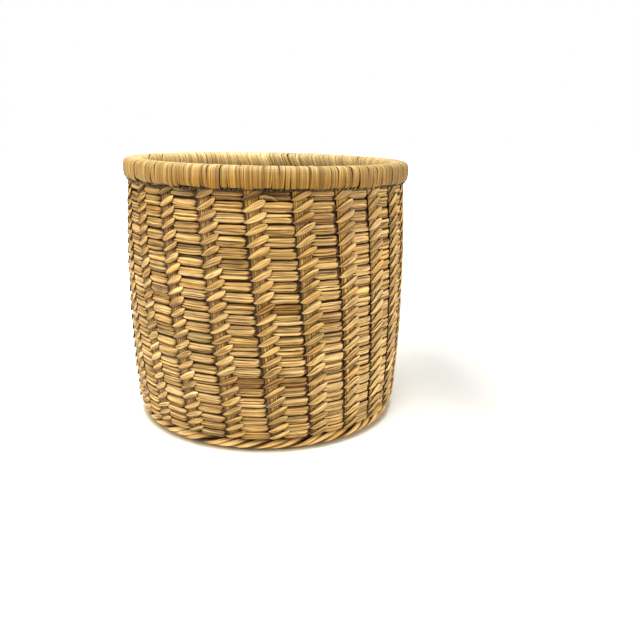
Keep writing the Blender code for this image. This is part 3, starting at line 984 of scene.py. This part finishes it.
# loose ends: the cut tip of a weft leaf and two dark splinters inside the rim
loose = {
    "steps": 10, "taper": ((0, 0.7, 1), (1, 0.8, 0.15)),
    "ends": (  # places as (azimuth, radius, height), then half width, half thickness and colour
        (((-3, 123.4, 212.5), (-1, 125.6, 213.0), (1.5, 126.2, 212.0), (3.2, 125.0, 209.6)),
         1.5, 0.6, rush["tan"] * 0.62),
        (((261.5, 112.0, 231.0), (262.2, 109.5, 236.0)), 0.7, 0.4, rush["dark"] * 0.5),
        (((246.2, 112.0, 230.5), (247.0, 109.8, 235.0)), 0.6, 0.4, rush["dark"] * 0.5),
    ),
}
endBlank = makeBlank(loose["steps"], 8, False)


def looseEnd(places, halfWide, halfThick, shade):
    share, at = np.linspace(0, 1, loose["steps"]), np.linspace(0, 1, len(places))
    azimuth, r, z = (np.interp(share, at, row) for row in np.array(places).T)
    wide = halfWide * np.interp(share, *loose["taper"])
    colourAndShade = np.tile(shade, (len(share), 1))
    return layStrand(endBlank, around(azimuth, r, z), around(azimuth, 1, 0), wide, halfThick, colourAndShade)


joinAs("looseEnds", [looseEnd(*look) for look in loose["ends"]], "row_rush")

for blank in blanks:
    bpy.data.objects.remove(blank)

# floor, light and camera
paper = {
    "radius": 6.0, "drop": -0.0002, "roughness": 0.9, "bounce": (0.97, 0.94, 0.86),
    "near": (1.06, 1.055, 1.0), "far": (3.6, 3.6, 3.6), "farReach": (0.22, 2.4),  # it washes out to white
    "touch": (0.70, 0.62, 0.46), "touchReach": (0.1205, 0.1245),  # painted shadow: browner and darker right under the basket
    "shadePlace": (0.270, 0.018, 0.0), "shadeStretch": (1.0, 0.45, 1.0),  # painted shadow: a soft shade at the right
    "shadeReach": (0.06, 0.17), "shade": 0.61,
}
bpy.ops.object.select_all(action="DESELECT")
bpy.ops.mesh.primitive_circle_add(
    vertices=96, radius=paper["radius"], fill_type="NGON", location=(0, 0, paper["drop"])
)
floor = bpy.context.object
floor.name = "studioFloor"
floorMaterial = bpy.data.materials.new("floorPaper")
floorMaterial.use_nodes = True
tree = floorMaterial.node_tree


def mixed(factor, first, second):
    inputs = {"Factor": factor, "A": first, "B": second}
    return addNode(tree, "ShaderNodeMix", inputs, data_type="RGBA").outputs["Result"]


def vectorMath(operation, *inputs):
    return addNode(tree, "ShaderNodeVectorMath", dict(enumerate(inputs)), operation=operation).outputs


place = addNode(tree, "ShaderNodeTexCoord", {}).outputs["Object"]
reach = vectorMath("LENGTH", place)["Value"]
nearTint = mixed(mapped(tree, reach, paper["touchReach"]), (*paper["touch"], 1), (*paper["near"], 1))
squashed = vectorMath("MULTIPLY", place, paper["shadeStretch"])["Vector"]
aside = vectorMath("DISTANCE", squashed, paper["shadePlace"])["Value"]
shade = mapped(tree, aside, paper["shadeReach"], (paper["shade"], 1.0), interpolation_type="SMOOTHSTEP")
shaded = times(tree, nearTint, shade)
seenTint = mixed(mapped(tree, reach, paper["farReach"]), shaded, (*paper["far"], 1))
seen = addNode(tree, "ShaderNodeLightPath", {}).outputs["Is Camera Ray"]
feed(tree, tree.nodes["Principled BSDF"], {
    "Base Color": mixed(seen, (*paper["bounce"], 1), seenTint),
    "Roughness": paper["roughness"], "Specular IOR Level": 0.0,
})
floor.data.materials.append(floorMaterial)
floor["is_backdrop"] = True

light = {
    "world": 0.38, "aim": (0, 0, 0.1),
    "lamps": (  # name, place, size, power
        ("topLight", (-0.25, -0.36, 1.80), 1.3, 41.0),
        ("leftLight", (-1.45, -0.70, 0.70), 1.0, 15.6),
        ("rightLight", (1.45, -0.60, 0.65), 1.0, 17.0),
    ),
}
world = bpy.data.worlds.new("studioWorld")
bpy.context.scene.world = world
world.use_nodes = True
tree = world.node_tree
ray = addNode(tree, "ShaderNodeLightPath", {})
rays = {0: ray.outputs["Is Camera Ray"], 1: ray.outputs["Is Transmission Ray"]}
seen = addNode(tree, "ShaderNodeMath", rays, operation="MAXIMUM").outputs[0]
strength = mapped(tree, seen, (0.0, 1.0), (light["world"], 1.0))
feed(tree, tree.nodes["Background"], {"Color": (1, 1, 1, 1), "Strength": strength})

for name, spot, size, power in light["lamps"]:
    lamp = bpy.data.lights.new(name, "AREA")
    lamp.shape = "DISK"
    lamp.size = size
    lamp.energy = power
    softbox = bpy.data.objects.new(name, lamp)
    bpy.context.collection.objects.link(softbox)
    softbox.location = spot
    softbox.rotation_euler = (Vector(light["aim"]) - softbox.location).to_track_quat("-Z", "Y").to_euler()

view = {"place": (0.0, -0.6237, 0.2646), "yaw": 4.70, "tilt": 16.43, "roll": 1.29, "lens": 37.125}
yaw, tilt, roll = (math.radians(view[name]) for name in ("yaw", "tilt", "roll"))
ahead = Vector((math.sin(yaw) * math.cos(tilt), math.cos(yaw) * math.cos(tilt), -math.sin(tilt)))
right = Vector((math.cos(yaw), -math.sin(yaw), 0))
up = right.cross(ahead)
right, up = math.cos(roll) * right + math.sin(roll) * up, -math.sin(roll) * right + math.cos(roll) * up
camera = bpy.data.objects.new("camera", bpy.data.cameras.new("camera"))
bpy.context.collection.objects.link(camera)
camera.data.lens = view["lens"]
camera.data.sensor_width = 36
camera.matrix_world = Matrix.Translation(view["place"]) @ Matrix((right, up, -ahead)).transposed().to_4x4()
bpy.context.scene.camera = camera
bpy.context.scene.view_settings.view_transform = "Standard"
print("stage set")

size = {name: [list(corner) for corner in box] for name, box in (("cad", cadBox), ("scene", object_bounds()))}
